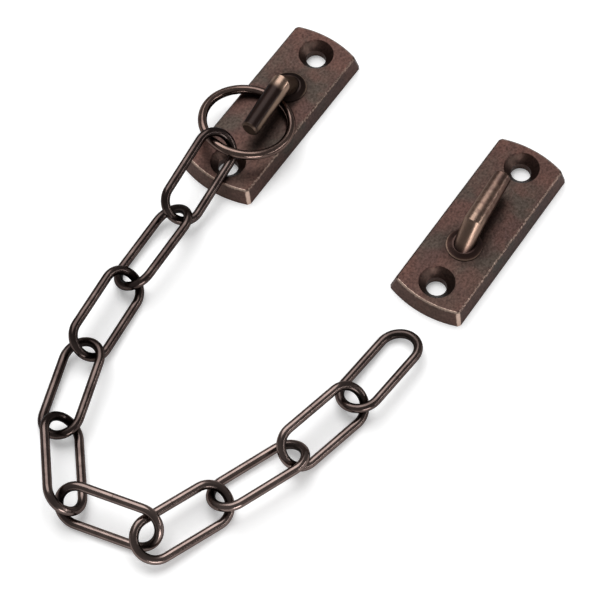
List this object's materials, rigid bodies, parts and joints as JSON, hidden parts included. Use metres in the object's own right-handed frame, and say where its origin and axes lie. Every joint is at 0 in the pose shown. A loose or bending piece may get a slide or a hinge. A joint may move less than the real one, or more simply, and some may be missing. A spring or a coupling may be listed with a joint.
{
  "type": "door chain",
  "caption": "Antique-copper door chain set: chain plate with hook, ring and long oval links, and a hooked keeper plate.",
  "frame": {"origin": "middle of the chain plate's back face", "axes": "+Y along both plates towards the chain hook's foot, +Z out of the plates' fronts, +X towards the keeper plate"},
  "size_m": [0.076, 0.1308, 0.0124],
  "materials": {
    "plate": "antique copper, rubbed edges",
    "hook": "antique copper, rubbed edges",
    "wire": "antique copper plated"
  },
  "bodies": {
    "plates": {"chain_plate": "plate", "chain_hook": "hook", "keeper_plate": "plate", "keeper_hook": "hook"},
    "ring": {"ring": "wire"},
    "link_01": {"link_01": "wire"},
    "link_02": {"link_02": "wire"},
    "link_03": {"link_03": "wire"},
    "link_04": {"link_04": "wire"},
    "link_05": {"link_05": "wire"},
    "link_06": {"link_06": "wire"},
    "link_07": {"link_07": "wire"},
    "link_08": {"link_08": "wire"},
    "link_09": {"link_09": "wire"},
    "link_10": {"link_10": "wire"}
  },
  "joints": [
    {"name": "ring_swing", "type": "hinge", "parent": "plates", "child": "ring", "pos_m": [-0.00138, 0.0016, 0.00493], "axis": [-1, 0, 0], "range_deg": [0, 60]},
    {"name": "link_01_swing", "type": "hinge", "parent": "ring", "child": "link_01", "pos_m": [-0.00261, -0.01777, 0.00869], "axis": [-0.9922, 0.1224, -0.0238], "range_deg": [0, 60]},
    {"name": "link_02_swing", "type": "hinge", "parent": "link_01", "child": "link_02", "pos_m": [-0.00117, -0.03667, 0.0052], "axis": [-0.7586, -0.1626, 0.631], "range_deg": [-60, 10]},
    {"name": "link_03_swing", "type": "hinge", "parent": "link_02", "child": "link_03", "pos_m": [-0.00075, -0.0555, 0.00297], "axis": [-0.8577, 0.021, -0.5138], "range_deg": [-60, 60]},
    {"name": "link_04_swing", "type": "hinge", "parent": "link_03", "child": "link_04", "pos_m": [0.00188, -0.07441, 0.00464], "axis": [-0.7861, -0.0641, 0.6148], "range_deg": [-60, 20]},
    {"name": "link_05_swing", "type": "hinge", "parent": "link_04", "child": "link_05", "pos_m": [0.00796, -0.09204, 0.00222], "axis": [-0.9011, -0.2677, -0.3412], "range_deg": [-10, 60]},
    {"name": "link_06_swing", "type": "hinge", "parent": "link_05", "child": "link_06", "pos_m": [0.02113, -0.10529, 0.00481], "axis": [-0.6002, -0.4588, 0.6552], "range_deg": [-50, 55]},
    {"name": "link_07_swing", "type": "hinge", "parent": "link_06", "child": "link_07", "pos_m": [0.03964, -0.09888, 0.00442], "axis": [0.1416, -0.6132, -0.7771], "range_deg": [-10, 20]},
    {"name": "link_08_swing", "type": "hinge", "parent": "link_07", "child": "link_08", "pos_m": [0.04557, -0.08335, 0.00244], "axis": [0.8496, -0.3553, -0.3898], "range_deg": [-12, 50]},
    {"name": "link_09_swing", "type": "hinge", "parent": "link_08", "child": "link_09", "pos_m": [0.0526, -0.06613, 0.003], "axis": [0.8261, -0.3338, 0.454], "range_deg": [-25, 60]},
    {"name": "link_10_swing", "type": "hinge", "parent": "link_09", "child": "link_10", "pos_m": [0.05581, -0.04904, 0.00344], "axis": [0.7871, -0.1883, -0.5874], "range_deg": [-50, 20]}
  ]
}
